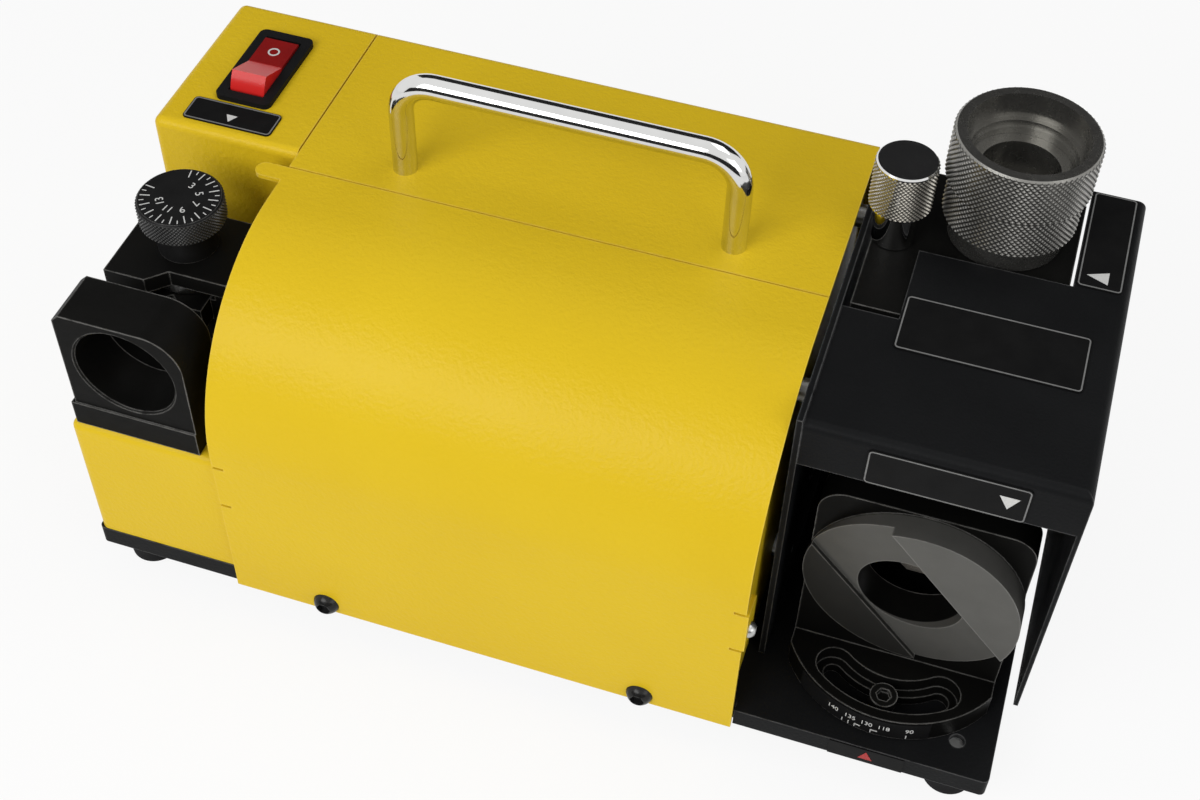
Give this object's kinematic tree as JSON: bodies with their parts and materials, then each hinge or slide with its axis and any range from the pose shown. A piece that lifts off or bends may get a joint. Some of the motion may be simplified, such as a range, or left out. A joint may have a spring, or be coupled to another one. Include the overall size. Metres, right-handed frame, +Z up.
{
  "type": "drill bit sharpener",
  "caption": "Bench drill bit sharpener: sheet-metal motor body with carrying handle, rocker switch, setting dial and bore, swivelling point-angle holder and collet chuck over a grinding wheel.",
  "frame": {"origin": "middle of the overall box in plan, on the surface the feet stand on", "axes": "+X along the length towards the wheel end, +Y towards the back, +Z up"},
  "size_m": [0.3234, 0.1596, 0.1831],
  "materials": {
    "yellow_paint": "powder coat, fine orange peel",
    "black_paint": "satin black, chipped at the edges",
    "black_oxide": "phosphated and oiled",
    "chuck_steel": "knurled, phosphated",
    "chrome": "polished",
    "bright_steel": "ground",
    "zinc_screw": "zinc plated",
    "black_screw": "gloss black",
    "rubber": "matt",
    "black_plastic": "fine texture",
    "red_plastic": "translucent gloss",
    "dial_black": "blackened, white marks",
    "marking": "printed film",
    "abrasive": "grit",
    "motor_paint": "dip coat",
    "cast_alloy": "cast",
    "lamination": "stacked sheet",
    "copper": "varnished wire"
  },
  "bodies": {
    "frame": {"base_plate": "black_paint", "rubber_feet": "rubber", "foot_screws": "zinc_screw", "left_housing": "yellow_paint", "panel_screws": "zinc_screw", "switch_housing": "black_plastic", "power_inlet": "black_plastic", "inlet_screws": "zinc_screw", "setting_block": "black_oxide", "setting_trough": "black_oxide", "fixture_screws": "zinc_screw", "stop_bracket": "black_oxide", "body_cover": "yellow_paint", "end_plate_left": "yellow_paint", "end_plate_right": "yellow_paint", "lid_hinge_pins": "bright_steel", "carry_handle": "chrome", "handle_screws": "zinc_screw", "collet_tray": "black_paint", "spare_collets": "bright_steel", "motor_can": "motor_paint", "motor_shield_left": "cast_alloy", "motor_shield_right": "cast_alloy", "motor_bearings": "bright_steel", "stator_core": "lamination", "stator_winding": "copper", "motor_cradle": "cast_alloy", "cradle_screws": "zinc_screw", "side_plate": "black_paint", "side_plate_spacers": "zinc_screw", "side_plate_screws": "zinc_screw", "wheel_cover": "black_paint", "cover_screws": "black_screw", "relief_bracket": "black_oxide", "relief_screws": "zinc_screw", "holder_pivot_pin": "bright_steel", "clamp_bolt": "black_oxide", "tower_label": "marking", "cover_labels": "marking", "index_plate": "marking"},
    "rocker": {"switch_rocker": "red_plastic"},
    "dial": {"setting_dial": "dial_black", "dial_scroll": "bright_steel"},
    "stop": {"stop_slide": "black_oxide"},
    "lid": {"front_lid": "yellow_paint", "lid_ear_screws": "zinc_screw", "lid_hinge_knuckles": "black_oxide", "lid_dome_screws": "black_screw"},
    "spindle": {"spindle_shaft": "bright_steel", "rotor_core": "lamination", "cooling_fan": "black_plastic", "wheel_flange": "bright_steel", "grinding_wheel": "abrasive", "wheel_nut": "zinc_screw"},
    "holder": {"point_holder": "black_oxide", "angle_scale": "marking"},
    "chuck": {"chuck_body": "chuck_steel", "chuck_collet": "bright_steel"},
    "nut": {"chuck_nut": "chuck_steel"},
    "knob": {"clamp_knob": "chrome"}
  },
  "joints": [
    {"name": "rocker_tilt", "type": "hinge", "parent": "frame", "child": "rocker", "pos_m": [-0.13585, 0.0426, 0.14], "axis": [1, 0, 0], "range_deg": [0, 22]},
    {"name": "dial_turn", "type": "hinge", "parent": "frame", "child": "dial", "pos_m": [-0.13475, -0.0244, 0.122], "axis": [0, 0, 1], "range_deg": [0, 213]},
    {"name": "stop_travel", "type": "slide", "parent": "frame", "child": "stop", "axis": [0, 1, 0], "range_m": [0, 0.005]},
    {"name": "lid_swing", "type": "hinge", "parent": "frame", "child": "lid", "pos_m": [-0.01615, -0.0708, 0.016], "axis": [1, 0, 0], "range_deg": [0, 80]},
    {"name": "spindle_spin", "type": "hinge", "parent": "frame", "child": "spindle", "pos_m": [0.11915, 0.0108, 0.069], "axis": [1, 0, 0], "continuous": true},
    {"name": "holder_swivel", "type": "hinge", "parent": "frame", "child": "holder", "pos_m": [0.11915, -0.0302, 0.02], "axis": [0, 0, 1], "range_deg": [-16, 13]},
    {"name": "chuck_lift", "type": "slide", "parent": "frame", "child": "chuck", "axis": [0, 0, 1], "range_m": [0, 0.03]},
    {"name": "nut_turn", "type": "hinge", "parent": "chuck", "child": "nut", "pos_m": [0.11915, 0.0528, 0.165], "axis": [0, 0, 1], "range_deg": [0, 360]},
    {"name": "knob_turn", "type": "hinge", "parent": "frame", "child": "knob", "pos_m": [0.08555, 0.0388, 0.138], "axis": [0, 0, 1], "range_deg": [0, 720]}
  ],
  "couplings": [
    {"joint": "stop_travel", "follows": "dial_turn", "m_per_rad": 0.001345}
  ]
}
